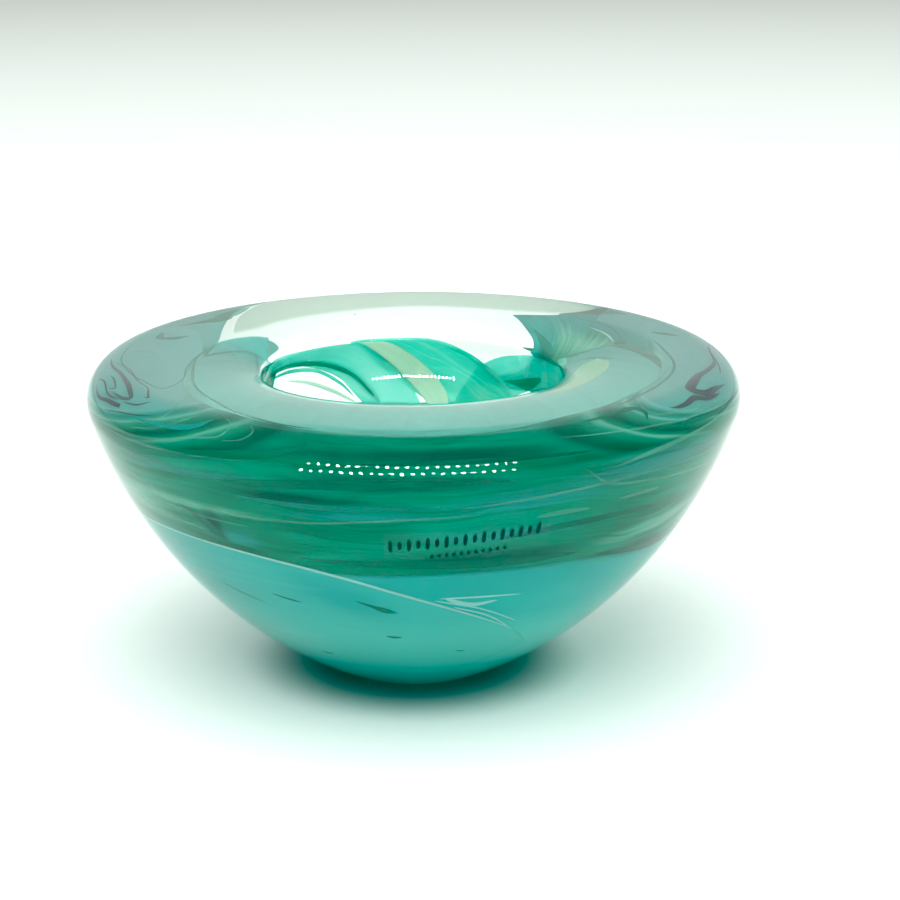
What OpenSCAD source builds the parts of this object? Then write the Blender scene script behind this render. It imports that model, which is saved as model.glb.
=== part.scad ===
// Heavy art glass bowl with swirled colour cased between clear crystal.
// The origin is the centre of the polished foot, +Z is up and -Y is the front.
// Every layer is a solid of revolution, or a piece of one cut by tilted planes,
// and fused layers meet face to face.

/* [Overall size] */
// Widest diameter of the bowl
bowl_d = 140; // [120:1:160]
// Height from the foot to the crest of the rim
bowl_h = 70; // [66:1:76]
// Diameter of the polished foot
foot_d = 35; // [28:1:44]
// Radius of the rounded shoulder
shoulder_r = 8; // [7:0.5:10]
// Diameter of the rim's crest
crest_d = 118; // [110:1:122]
// Angle at which the wall leaves the foot
foot_angle = 25; // [18:1:28]

/* [Well] */
// Diameter of the straight part of the well
well_d = 65; // [56:1:70]
// Depth of the rounded lip, crest to straight wall
lip_drop = 5; // [4:0.5:7]
// Height of the well's floor above the foot
well_floor_z = 38; // [34:1:44]
// Squareness of the well's section, 2 is an ellipse
well_power = 2.3; // [2:0.1:3]

/* [Glass layers] */
// Thickness of the clear outer casing
casing_t = 1.4; // [1:0.1:2]
// Thickness of the swirled colour layer
colour_t = 1.2; // [0.8:0.1:1.6]
// Height at which the outer colour layer ends
colour_top_z = 64.5; // [63:0.5:66]
// Height of the opal cup's edge on the axis
opal_z = 39.3; // [36:0.1:42]
// Distance from the well's wall to the ribbons around it
ribbon_gap = 1.5; // [1:0.1:2]
// Thickness of the ribbons around the well
ribbon_t = 1; // [0.6:0.1:1.4]

/* [Back window] */
// Left edge of the clear window, degrees round from the front
window_left = -136; // [-150:1:-120]
// Right edge of the clear window, degrees round from the front
window_right = 144; // [130:1:160]

/* [Maker's label] */
// Thickness of the label film
label_t = 0.1; // [0.1:0.05:0.3]
// Height of the label's lower edge
label_z = 44.5; // [42:0.5:48]
// Height of the label
label_h = 6; // [4:0.5:8]
// Middle of the label, degrees round from the front
label_turn = 9; // [0:1:20]
// Width of the label in degrees
label_sweep = 28; // [20:1:34]

/* [Hidden] */

$fn = 180;
bowl_r = bowl_d / 2;
foot_r = foot_d / 2;
crest_r = crest_d / 2;
well_r = well_d / 2;
lip_z = bowl_h - lip_drop;
well_depth = lip_z - well_floor_z;
core_skin = casing_t + colour_t;

lip_steps = 14;
well_steps = 26;
big = 300;

// The wall is one arc that leaves the foot at foot_angle and runs smoothly into
// the shoulder's arc, so both centres follow from the foot and the shoulder
foot_edge = [foot_r, 0];
shoulder_c = [bowl_r - shoulder_r, bowl_h - shoulder_r];
wall_normal = [-sin(foot_angle), cos(foot_angle)];
foot_to_shoulder = shoulder_c - foot_edge;
wall_r = (foot_to_shoulder * foot_to_shoulder - shoulder_r * shoulder_r)
    / (2 * (wall_normal * foot_to_shoulder - shoulder_r));
wall_c = foot_edge + wall_r * wall_normal;
// Far out on the line through both centres, where one arc meets the other
beyond_shoulder = wall_c + big * (shoulder_c - wall_c) / norm(shoulder_c - wall_c);

// Lean of the planes that cut the outer colour, and where they cross the axis.
// The pieces above the opal cup are cut from the layer above upper_low_z.
opal_lean = -2;
upper_low_z = 30;
sweep_z = 40.5;
sweep_lean = 13;
sweep_from = -125;
sweep_to = 16;
streak_from = -80;
streak_to = -12;
streak_w = 3.5;
teal_from = 60;
teal_z = 51;
teal_lean_x = -16;
teal_lean_y = 3;

// The ribbons behind the well run from its right side round to its left
ribbon_from = 112;
ribbon_to = 250;
ribbon_low_z = 46;
ribbon_top_z = 64;
ribbon_lean = 36;
// Where the edges of the ribbons cross the axis
ribbon_z = [47.3, 54.8, 56.2, 70, 76, 90];

// Rounded lip, from just inside the crest to just above the well's straight wall
function lip_line() = [for (i = [1:lip_steps - 1]) let (a = 90 * i / lip_steps)
    [crest_r - (crest_r - well_r) * sin(a), bowl_h - lip_drop * (1 - cos(a))]];
// Rounded well, moved gap into the glass, from its straight wall to the axis
function well_line(gap) = [for (i = [0:well_steps]) let (a = 90 * i / well_steps)
    [(well_r + gap) * pow(cos(a), 2 / well_power),
     lip_z - (well_depth + gap) * pow(sin(a), 2 / well_power)]];

// Half outline of everything more than depth below the outer surface
module inside_2d(depth) {
    intersection() {
        translate([0, depth]) square([bowl_r + 1, bowl_h - 2 * depth]);
        union() {
            intersection() {
                translate(wall_c) circle(wall_r - depth);
                polygon([[0, -1], [bowl_d, -1], beyond_shoulder, shoulder_c, [0, shoulder_c[1]]]);
            }
            translate(shoulder_c) circle(shoulder_r - depth);
            translate([0, shoulder_c[1] - 1]) square([shoulder_c[0], bowl_h]);
        }
    }
}

// Half outline of the air in the well, up past the crest
module well_2d() {
    polygon(concat([[0, bowl_h + 1], [crest_r, bowl_h + 1], [crest_r, bowl_h]],
                   lip_line(), well_line(0)));
}

// Half outline of the colour layer that follows the outer wall
module outer_layer_2d() {
    difference() {
        intersection() {
            inside_2d(casing_t);
            square([bowl_r, colour_top_z]);
        }
        inside_2d(core_skin);
    }
}

// Half outline of the ribbons that follow the well's wall
module well_layer_2d() {
    intersection() {
        difference() {
            polygon(concat([[0, lip_z]], well_line(ribbon_gap + ribbon_t)));
            polygon(concat([[0, lip_z + 1], [well_r + ribbon_gap, lip_z + 1]],
                           well_line(ribbon_gap)));
        }
        translate([0, ribbon_low_z]) square([bowl_r, ribbon_top_z - ribbon_low_z]);
    }
}

// Turns a half outline from one angle to another, measured round from the front
module turned(from, to) {
    rotate([0, 0, from - 90]) rotate_extrude(angle = to - from) children();
}

// The upper part of the colour layer from one angle to another
module upper_layer(from, to) {
    turned(from, to) intersection() {
        outer_layer_2d();
        translate([0, upper_low_z]) square([bowl_r, bowl_h]);
    }
}

// Upright wedge of space from one angle to another, measured round from the front
module wedge(from, to) {
    middle = (from + to) / 2;
    corners = [for (a = [from, middle, to]) big * [sin(a), -cos(a)]];
    translate([0, 0, -1]) linear_extrude(big) polygon(concat([[0, 0]], corners));
}

// Everything below a plane that crosses the axis at z and leans by two angles
module below(z, lean_x, lean_y) {
    translate([0, 0, z]) rotate([lean_x, lean_y, 0])
        translate([-big / 2, -big / 2, -big]) cube(big);
}

// Everything up to the opal cup's leaning edge
module below_opal() {
    below(opal_z, opal_lean, 0);
}

// Space of the opal that sweeps up on the left
module sweep_space() {
    intersection() {
        wedge(sweep_from, sweep_to);
        below(sweep_z, 0, sweep_lean);
    }
}

// Space up to the top of the lime streak
module streak_space() {
    intersection() {
        wedge(streak_from, streak_to);
        below(sweep_z + streak_w, 0, sweep_lean);
    }
}

// Space of the blue-green ribbon, high on the right
module teal_space() {
    difference() {
        wedge(teal_from, window_right + 10);
        below(teal_z, teal_lean_x, teal_lean_y);
    }
}

// Thick clear crystal inside the colour, with the well and the rim
module clear_core() {
    color([0.90, 0.97, 0.94, 0.35]) difference() {
        rotate_extrude() difference() {
            union() {
                intersection() {
                    inside_2d(core_skin);
                    square([bowl_r, colour_top_z]);
                }
                intersection() {
                    inside_2d(0);
                    translate([0, colour_top_z]) square([bowl_r, bowl_h]);
                }
            }
            well_2d();
        }
        well_ribbon_left();
        well_ribbon_right();
        well_ribbon_end();
        well_lime_thread();
    }
}

// Last clear gather, cased round the colour and under the foot
module clear_casing() {
    color([0.92, 0.98, 0.96, 0.3]) rotate_extrude() difference() {
        intersection() {
            inside_2d(0);
            square([bowl_r, colour_top_z]);
        }
        inside_2d(casing_t);
    }
}

// Milky aqua cup round the bottom of the bowl
module opal_cup() {
    color([0.45, 0.80, 0.72]) intersection() {
        rotate_extrude() outer_layer_2d();
        below_opal();
    }
}

// Milky aqua lobe that climbs up the left side
module opal_sweep() {
    color([0.55, 0.86, 0.80]) intersection() {
        difference() {
            upper_layer(sweep_from, sweep_to);
            below_opal();
        }
        below(sweep_z, 0, sweep_lean);
    }
}

// Pale yellow-green streak along the top of the lobe
module lime_streak() {
    color([0.72, 0.90, 0.62]) intersection() {
        difference() {
            upper_layer(streak_from, streak_to);
            below(sweep_z, 0, sweep_lean);
        }
        below(sweep_z + streak_w, 0, sweep_lean);
    }
}

// Blue-green ribbon high round the right side
module teal_ribbon() {
    color([0.10, 0.58, 0.52]) difference() {
        upper_layer(teal_from, window_right);
        below(teal_z, teal_lean_x, teal_lean_y);
    }
}

// Deep green band round the front and both sides, between the other colours
module emerald_band() {
    color([0.05, 0.50, 0.36]) difference() {
        upper_layer(window_left, window_right);
        below_opal();
        sweep_space();
        streak_space();
        teal_space();
    }
}

// Clear gap in the colour at the back
module clear_window() {
    color([0.90, 0.97, 0.94, 0.4]) difference() {
        upper_layer(window_right, 360 + window_left);
        below_opal();
    }
}

// One ribbon behind the well, between two leaning planes
module well_band(low_z, high_z) {
    difference() {
        intersection() {
            turned(ribbon_from, ribbon_to) well_layer_2d();
            below(high_z, 0, ribbon_lean);
        }
        below(low_z, 0, ribbon_lean);
    }
}

// First ribbon, falling to the right behind the well
module well_ribbon_left() {
    color([0.12, 0.62, 0.54]) well_band(ribbon_z[0], ribbon_z[1]);
}

// Pale thread between the two wide ribbons
module well_lime_thread() {
    color([0.78, 0.92, 0.72]) well_band(ribbon_z[1], ribbon_z[2]);
}

// Second ribbon, beside the first
module well_ribbon_right() {
    color([0.08, 0.56, 0.50]) well_band(ribbon_z[2], ribbon_z[3]);
}

// Tail of the ribbons, on the right of the well
module well_ribbon_end() {
    color([0.06, 0.46, 0.42]) well_band(ribbon_z[4], ribbon_z[5]);
}

// Clear film label on the front, without any mark
module makers_label() {
    color([0.10, 0.16, 0.14]) turned(label_turn - label_sweep / 2, label_turn + label_sweep / 2)
        intersection() {
            difference() {
                inside_2d(-label_t);
                inside_2d(0);
            }
            translate([0, label_z]) square([bowl_r + 1, label_h]);
        }
}

clear_core();
clear_casing();
opal_cup();
opal_sweep();
emerald_band();
teal_ribbon();
lime_streak();
clear_window();
well_ribbon_left();
well_ribbon_right();
well_ribbon_end();
well_lime_thread();
makers_label();
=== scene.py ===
"""Heavy art glass bowl: swirled colour layers cased between clear crystal.

The frame is in metres with +Z up and -Y as the front. Working sizes are in millimetres and degrees:
az is the angle round from the front, positive to the right, and u runs up the outer surface. On the
wall u is the height, and from the shoulder on it grows with the distance over the rim.
"""

import math

import bmesh
import bpy
import numpy as np
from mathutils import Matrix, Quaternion, Vector


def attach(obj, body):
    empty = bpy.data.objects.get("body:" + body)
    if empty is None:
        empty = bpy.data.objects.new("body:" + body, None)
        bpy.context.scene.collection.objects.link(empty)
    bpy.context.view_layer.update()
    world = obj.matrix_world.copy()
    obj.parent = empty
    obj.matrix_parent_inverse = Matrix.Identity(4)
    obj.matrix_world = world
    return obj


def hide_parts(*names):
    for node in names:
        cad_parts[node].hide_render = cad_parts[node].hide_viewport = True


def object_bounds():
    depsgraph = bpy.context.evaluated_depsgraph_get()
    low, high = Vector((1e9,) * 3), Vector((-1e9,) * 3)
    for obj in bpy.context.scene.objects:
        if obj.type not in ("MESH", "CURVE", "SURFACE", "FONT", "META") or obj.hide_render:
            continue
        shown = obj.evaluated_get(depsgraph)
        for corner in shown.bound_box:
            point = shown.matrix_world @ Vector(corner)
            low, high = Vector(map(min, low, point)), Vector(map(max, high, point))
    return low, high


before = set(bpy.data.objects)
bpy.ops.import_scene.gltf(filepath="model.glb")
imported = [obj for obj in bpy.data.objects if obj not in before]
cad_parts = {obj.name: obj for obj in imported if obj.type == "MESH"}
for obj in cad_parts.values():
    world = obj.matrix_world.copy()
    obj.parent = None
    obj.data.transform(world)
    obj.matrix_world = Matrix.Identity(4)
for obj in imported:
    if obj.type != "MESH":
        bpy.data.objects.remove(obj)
cad_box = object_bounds()

MM = 0.001

# Driving dimensions of the body, as in the CAD
BOWL_R = round((cad_box[1][0] - cad_box[0][0]) / 2 / MM)
BOWL_H = round((cad_box[1][2] - cad_box[0][2]) / MM)
FOOT_R = 17.5
FOOT_ANGLE = math.radians(25)
SHOULDER_R = 8.0
CREST_R = 59.0
WELL_R = 32.5
LIP_DROP = 5.0
WELL_FLOOR_Z = 38.0
WELL_POWER = 2.3
LIP_Z = BOWL_H - LIP_DROP
WELL_DEPTH = LIP_Z - WELL_FLOOR_Z

# The wall is an arc that leaves the foot at FOOT_ANGLE and meets the shoulder's arc smoothly
SHOULDER_C = np.array([BOWL_R - SHOULDER_R, BOWL_H - SHOULDER_R])
FOOT_EDGE = np.array([FOOT_R, 0.0])
FOOT_NORMAL = np.array([-math.sin(FOOT_ANGLE), math.cos(FOOT_ANGLE)])
TO_SHOULDER = SHOULDER_C - FOOT_EDGE
WALL_R = (TO_SHOULDER @ TO_SHOULDER - SHOULDER_R ** 2) / (2 * (FOOT_NORMAL @ TO_SHOULDER - SHOULDER_R))
WALL_C = FOOT_EDGE + WALL_R * FOOT_NORMAL
SEAM = WALL_C + (SHOULDER_C - WALL_C) / np.linalg.norm(SHOULDER_C - WALL_C) * WALL_R
SEAM_ANGLE = math.atan2(SEAM[1] - SHOULDER_C[1], SEAM[0] - SHOULDER_C[0])
TOP_U = SEAM[1] + SHOULDER_R * (math.pi / 2 - SEAM_ANGLE)

# Depths of the colour layers below the outer surface, and their thickness
SWEEP_DEPTH, SWEEP_T = 1.5, 0.6
CUP_DEPTH, CUP_T = 2.2, 0.8
SWIRL_DEPTH, SWIRL_T = 3.1, 0.8
LIP_T = 0.5
# Depth and thickness of the grey-green sheet of painted shade in the rim at the back
SHADE_SHEET_DEPTH, SHADE_SHEET_T = SWIRL_DEPTH - 0.9, 0.4
SMOKE_DEPTH = SWIRL_DEPTH - 0.8
THREAD_DEPTH, THREAD_T = SWIRL_DEPTH - 0.6, 0.25
TUBE_DEPTH, TUBE_T = SWIRL_DEPTH - 0.5, 0.3
MARK_DEPTH, MARK_T = SWEEP_DEPTH - 0.45, 0.2
PRINT_DEPTH, PRINT_T = -0.11, 0.04

# The ribbons lie this far behind the well's surface, and stop just under the lip
RIBBON_GAP, RIBBON_T = 1.6, 0.9
RIBBON_TOP = LIP_Z - 0.2

# The streaks that ring the lobes on the rim, in lobe radii, and how far they wander
RING_FROM, RING_TO, RING_DRIFT = 0.95, 1.95, 0.16

# How much light reaches the colour layers, beside the open floor
CASED_LIGHT = 1.5
# Of the light that leaves a paint, the share that gets out of the crystal and the share thrown back on it
ESCAPING, THROWN_BACK = 0.38, 0.6
PALEST = 0.97
# The emerald layer is lit from both sides, so it is painted darker than its look by these factors
DEEP = (0.76, 0.80, 0.80)
# Share of a layer's own light that goes on to its far side
GLOW_SHARE = 0.3
# Weights of the broad, fine and hair-thin streaks
BROAD_SHARE, FINE_SHARE, HAIR_SHARE = 0.42, 0.36, 0.22

GLASS_IOR = 1.5


# ---------------------------------------------------------------- surfaces
def outer_table():
    """u, r, z and the normal into the glass, along the outer surface from the foot to the well."""
    rows = []
    for t in np.linspace(0, 1, 16)[:-1]:
        a = FOOT_ANGLE * t * t
        rows.append((FOOT_R * (t - 1), FOOT_R * t, 0.0, -math.sin(a), math.cos(a)))
    for z in np.linspace(0, SEAM[1], 90):
        r = WALL_C[0] + math.sqrt(WALL_R ** 2 - (WALL_C[1] - z) ** 2)
        n = (WALL_C - (r, z)) / WALL_R
        rows.append((z, r, z, n[0], n[1]))
    for a in np.linspace(SEAM_ANGLE, math.pi / 2, 40)[1:]:
        c, s = math.cos(a), math.sin(a)
        u = SEAM[1] + SHOULDER_R * (a - SEAM_ANGLE)
        rows.append((u, SHOULDER_C[0] + SHOULDER_R * c, SHOULDER_C[1] + SHOULDER_R * s, -c, -s))
    rows.append((TOP_U + SHOULDER_C[0] - CREST_R, CREST_R, BOWL_H, 0.0, -1.0))
    half_w = CREST_R - WELL_R
    u = rows[-1][0]
    last = np.array([CREST_R, BOWL_H])
    for t in np.linspace(0, math.pi / 2, 60)[1:]:
        p = np.array([CREST_R - half_w * math.sin(t), BOWL_H - LIP_DROP * (1 - math.cos(t))])
        n = np.array([LIP_DROP * math.sin(t), -half_w * math.cos(t)])
        n /= np.linalg.norm(n)
        u += np.linalg.norm(p - last)
        last = p
        rows.append((u, p[0], p[1], n[0], n[1]))
    return np.array(rows)


def well_table():
    """Height, r, z and the normal into the glass, down the well from the lip to its floor."""
    rows = []
    for t in np.linspace(math.radians(50), math.pi / 2, 16)[:-1]:
        p = (CREST_R - (CREST_R - WELL_R) * math.sin(t), BOWL_H - LIP_DROP * (1 - math.cos(t)))
        rows.append(p)
    for t in np.linspace(0, math.pi / 2, 80):
        rows.append((WELL_R * math.cos(t) ** (2 / WELL_POWER),
                     LIP_Z - WELL_DEPTH * math.sin(t) ** (2 / WELL_POWER)))
    rows = np.array(rows)
    along = np.gradient(rows, axis=0)
    along /= np.linalg.norm(along, axis=1)[:, None]
    normal = np.stack([-along[:, 1], along[:, 0]], 1)
    table = np.column_stack([rows[:, 1], rows[:, 0], rows[:, 1], normal])
    return table[::-1]


OUTER = outer_table()
WELL = well_table()


def on_surface(table, az, u, depth):
    """Points in metres at depth below a surface, for arrays of az in degrees and u."""
    r, z, nr, nz = (np.interp(u, table[:, 0], table[:, i]) for i in (1, 2, 3, 4))
    r = np.maximum(r + nr * depth, 0.0)
    z = z + nz * depth
    a = np.radians(az)
    return np.stack([r * np.sin(a), -r * np.cos(a), z], -1) * MM


def smooth(x, low, high):
    """0 below low, 1 above high and an even ramp between."""
    t = np.clip((x - low) / (high - low), 0, 1)
    return t * t * (3 - 2 * t)


def through(points, x):
    """A smooth curve through (x, y) points, read at x."""
    px, py = np.array(points, float).T
    slopes = np.gradient(py, px)
    i = np.clip(np.searchsorted(px, x) - 1, 0, len(px) - 2)
    h = px[i + 1] - px[i]
    t = np.clip((x - px[i]) / h, 0, 1)
    a = (1 + 2 * t) * (1 - t) ** 2 * py[i] + t * (1 - t) ** 2 * h * slopes[i]
    b = t * t * (3 - 2 * t) * py[i + 1] + t * t * (t - 1) * h * slopes[i + 1]
    return a + b


# ---------------------------------------------------------------- mesh helpers
def new_object(name, verts, faces, materials, flow=None, tone=None, extra=None):
    mesh = bpy.data.meshes.new(name)
    mesh.from_pydata([tuple(v) for v in verts], [], faces)
    mesh.update()
    mesh.shade_smooth()
    if flow is not None:
        layer = mesh.attributes.new("flow", "FLOAT_VECTOR", "POINT")
        layer.data.foreach_set("vector", np.asarray(flow, np.float32).ravel())
    if tone is not None:
        layer = mesh.attributes.new("tone", "FLOAT_COLOR", "POINT")
        layer.data.foreach_set("color", np.asarray(tone, np.float32).ravel())
    for key, values in (extra or {}).items():
        layer = mesh.attributes.new(key, "FLOAT", "POINT")
        layer.data.foreach_set("value", np.asarray(values, np.float32).ravel())
    for material in materials:
        mesh.materials.append(material)
    obj = bpy.data.objects.new(name, mesh)
    bpy.context.scene.collection.objects.link(obj)
    return obj


def tube_faces(rings, size, start=0):
    """Faces of a tube of rings, closed at each end on a single point after the rings."""
    faces = []
    for i in range(rings - 1):
        for k in range(size):
            k2 = (k + 1) % size
            a, b = start + i * size, start + (i + 1) * size
            faces.append((a + k, a + k2, b + k2, b + k))
    first, last = start + rings * size, start + rings * size + 1
    end = start + (rings - 1) * size
    for k in range(size):
        k2 = (k + 1) % size
        faces.append((first, start + k2, start + k))
        faces.append((last, end + k, end + k2))
    return faces


def capped_faces(rings, steps):
    """Faces of rings of points, closed on a first point before them and a last point after them."""
    faces = []
    last, end = 1 + rings * steps, 1 + (rings - 1) * steps
    for k in range(steps):
        k2 = (k + 1) % steps
        faces.append((0, 1 + k2, 1 + k))
        faces.append((last, end + k, end + k2))
    for i in range(rings - 1):
        a, b = 1 + i * steps, 1 + (i + 1) * steps
        for k in range(steps):
            k2 = (k + 1) % steps
            faces.append((a + k, a + k2, b + k2, b + k))
    return faces


def ring_sides(n):
    """v from -1 to 1 along the outer side and back along the inner side of a flat ring."""
    v = np.cos(np.linspace(math.pi, 0, n))
    return (np.concatenate([v, v[-2:0:-1]]),
            np.concatenate([np.full(n, -1.0), np.full(n - 2, 1.0)]))


def lens(v, power=6):
    """Share of the full thickness across a band, falling to nothing at its edges."""
    return np.sqrt(np.clip(1 - np.abs(v) ** power, 0, 1))


def lathe(name, profile, steps, material, wave=None):
    """A closed solid of revolution from (r, z) points that start and end on the axis."""
    az = np.linspace(0, 2 * math.pi, steps, endpoint=False)
    profile = np.array(profile)
    verts = [(0, 0, profile[0][1])]
    for r, z in profile[1:-1]:
        grow = wave(az, r, z) if wave else 0.0
        verts += list(zip((r + grow) * np.sin(az), -(r + grow) * np.cos(az), np.full(steps, z)))
    verts.append((0, 0, profile[-1][1]))
    return new_object(name, np.array(verts) * MM, capped_faces(len(profile) - 2, steps), [material])


def sheet(name, material, az, lower, upper, depth, thick, across, flow, tone, extra=None):
    """A closed thin sheet in the outer surface's skin, between two edges given at each az."""
    v, side = ring_sides(across)
    az_g = np.repeat(az[:, None], len(v), 1)
    mid, half = (upper + lower) / 2, (upper - lower) / 2
    u_g = mid[:, None] + half[:, None] * v[None, :]
    full = smooth(np.minimum(az_g - az[0], az[-1] - az_g), -0.1, 3.0)
    d_g = depth + side * thick / 2 * lens(v)[None, :] * np.maximum(full, 0.02)
    ends = [(az[0] - 0.2, mid[0]), (az[-1] + 0.2, mid[-1])]
    az_all = np.concatenate([az_g.ravel(), [e[0] for e in ends]])
    u_all = np.concatenate([u_g.ravel(), [e[1] for e in ends]])
    d_all = np.concatenate([d_g.ravel(), [depth, depth]])
    s_all = np.concatenate([np.repeat(side[None, :], len(az), 0).ravel(), [-1, -1]])
    verts = on_surface(OUTER, az_all, u_all, d_all)
    faces = tube_faces(len(az), len(v))
    return new_object(name, verts, faces, [material], flow(az_all, u_all), tone(az_all, u_all, s_all),
                      extra(az_all, u_all) if extra else None)


def cup(name, material, upper, depth, thick, steps, rows, flow, tone):
    """A closed thin cup in the skin, from the middle of the foot up to an edge given at each az."""
    az = np.linspace(-180, 180, steps, endpoint=False)
    top = upper(az)
    v = np.linspace(0, 1, rows + 1)[1:]
    rim = np.sqrt(np.clip(1 - np.clip((v - 0.94) / 0.06, 0, 1) ** 2, 0, 1))
    outer = [(az, -FOOT_R + (top + FOOT_R) * t, depth - thick / 2 * k, -1) for t, k in zip(v, rim)]
    inner = [(az, -FOOT_R + (top + FOOT_R) * t, depth + thick / 2 * k, 1)
             for t, k in zip(v[-2::-1], rim[-2::-1])]
    az_all, u_all, d_all, s_all = [0.0], [-FOOT_R], [depth - thick / 2], [-1]
    for a, u, d, s in outer + inner:
        az_all += list(a)
        u_all += list(u)
        d_all += [d] * steps
        s_all += [s] * steps
    az_all.append(0.0)
    u_all.append(-FOOT_R)
    d_all.append(depth + thick / 2)
    s_all.append(1)
    az_all, u_all, d_all, s_all = map(np.array, (az_all, u_all, d_all, s_all))
    verts = on_surface(OUTER, az_all, u_all, d_all)
    faces = capped_faces(len(outer) + len(inner), steps)
    return new_object(name, verts, faces, [material], flow(az_all, u_all), tone(az_all, u_all, s_all))


def bands(name, material, surface, paths, depth, thick, across=9, spacing=0.8, top=None):
    """Flat tapered bands along (az, u, width) paths in the glass, joined into one piece.

    Each path is (points, tone), and its tone is teal, pale, dark and open shares.
    """
    verts, faces, flow, tones = [], [], [], []
    v, side = ring_sides(across)
    for number, (points, tone) in enumerate(paths):
        knots = np.array(points, float)
        r_mid = np.interp(knots[:, 1], surface[:, 0], surface[:, 1])
        metric = np.stack([np.radians(knots[:, 0]) * r_mid, knots[:, 1]], 1)
        length = np.concatenate([[0], np.cumsum(np.linalg.norm(np.diff(metric, axis=0), axis=1))])
        count = max(6, int(length[-1] / spacing))
        s = np.linspace(0, length[-1], count)
        az, u, width = (through(np.stack([length, knots[:, i]], 1), s) for i in range(3))
        r = np.interp(u, surface[:, 0], surface[:, 1])
        tangent = np.stack([np.gradient(np.radians(az)) * r, np.gradient(u)], 1)
        tangent /= np.linalg.norm(tangent, axis=1)[:, None] + 1e-9
        taper = np.sqrt(np.clip(np.sin(math.pi * np.clip(s / length[-1], 0.002, 0.998)), 0, 1))
        half = np.maximum(width, 0.05) / 2 * np.clip(taper * 1.6, 0.02, 1)
        across_mm = half[:, None] * v[None, :]
        az_g = az[:, None] - np.degrees(tangent[:, 1:] * across_mm / r[:, None])
        u_g = u[:, None] + tangent[:, :1] * across_mm
        if top is not None:
            u_g = top - 0.6 * np.log1p(np.exp(np.clip((top - u_g) / 0.6, -30, 60)))
        t_g = np.minimum(thick, half * 1.2)[:, None] * lens(v, 2)[None, :]
        d_g = depth + side[None, :] * t_g / 2
        start = len(verts)
        verts += list(on_surface(surface, az_g.ravel(), u_g.ravel(), d_g.ravel()))
        verts += list(on_surface(surface, az[[0, -1]], u[[0, -1]], np.array([depth, depth])))
        faces += tube_faces(count, len(v), start)
        s_g = np.repeat(s[:, None], len(v), 1)
        seed = np.full(s_g.size, 7.3 * number)
        flow += list(np.stack([s_g.ravel(), across_mm.ravel(), seed], 1))
        flow += [(s[0], 0, seed[0]), (s[-1], 0, seed[0])]
        s_side = np.repeat(side[None, :], count, 0).ravel()
        tones += [(*tone[:3], max(tone[3], 1.0 * (k > 0))) for k in s_side] + [tone] * 2
    return new_object(name, verts, faces, [material], flow, tones)


# ---------------------------------------------------------------- material helpers
def new_material(name):
    material = bpy.data.materials.new(name)
    material.use_nodes = True
    tree = material.node_tree
    tree.nodes.clear()
    return material, tree


def add(tree, kind, inputs=None, **settings):
    """A shader node with its settings, and inputs linked to a socket or set to a value."""
    node = tree.nodes.new("ShaderNode" + kind)
    for key, value in settings.items():
        setattr(node, key, value)
    for key, value in (inputs or {}).items():
        if isinstance(value, bpy.types.NodeSocket):
            tree.links.new(value, node.inputs[key])
        else:
            node.inputs[key].default_value = value
    return node


def maths(tree, operation, *values, clamp=False):
    return add(tree, "Math", dict(enumerate(values)), operation=operation,
               use_clamp=clamp).outputs[0]


def blend(tree, factor, a, b):
    """Colour a where factor is 0 and b where it is 1."""
    return add(tree, "Mix", {0: factor, 6: a, 7: b}, data_type="RGBA").outputs[2]


def ramp(tree, factor, stops):
    node = add(tree, "ValToRGB", {0: factor})
    elements = node.color_ramp.elements
    elements[0].position, elements[0].color = stops[0]
    elements[1].position, elements[1].color = stops[-1]
    for position, colour in stops[1:-1]:
        elements.new(position).color = colour
    return node.outputs[0]


def noise(tree, vector, stretch, detail=4.0, distortion=0.0, roughness=0.55):
    """Noise stretched along the flow of the glass."""
    scaled = add(tree, "Mapping", {"Vector": vector, "Scale": stretch}).outputs[0]
    return add(tree, "TexNoise",
               {"Vector": scaled, "Scale": 1.0, "Detail": detail, "Roughness": roughness,
                "Distortion": distortion}).outputs[0]


def tint(r, g, b):
    """A linear colour from display values of 0 to 255."""
    def linear(c):
        c = c / 255
        return c / 12.92 if c <= 0.04045 else ((c + 0.055) / 1.055) ** 2.4
    return (linear(r), linear(g), linear(b), 1.0)


def cased(r, g, b):
    """The paint that looks like the display values r, g, b once it lies inside the crystal.

    Part of the light that the paint sends back stays in the glass, so the paint is paler than its look.
    """
    look = [c / CASED_LIGHT for c in tint(r, g, b)[:3]]
    return tuple(min(c / (ESCAPING + THROWN_BACK * c), PALEST) for c in look) + (1.0,)


def deep(r, g, b):
    """The same for the emerald layer, which the light reaches from both sides."""
    return cased(r * DEEP[0], g * DEEP[1], b * DEEP[2])


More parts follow.
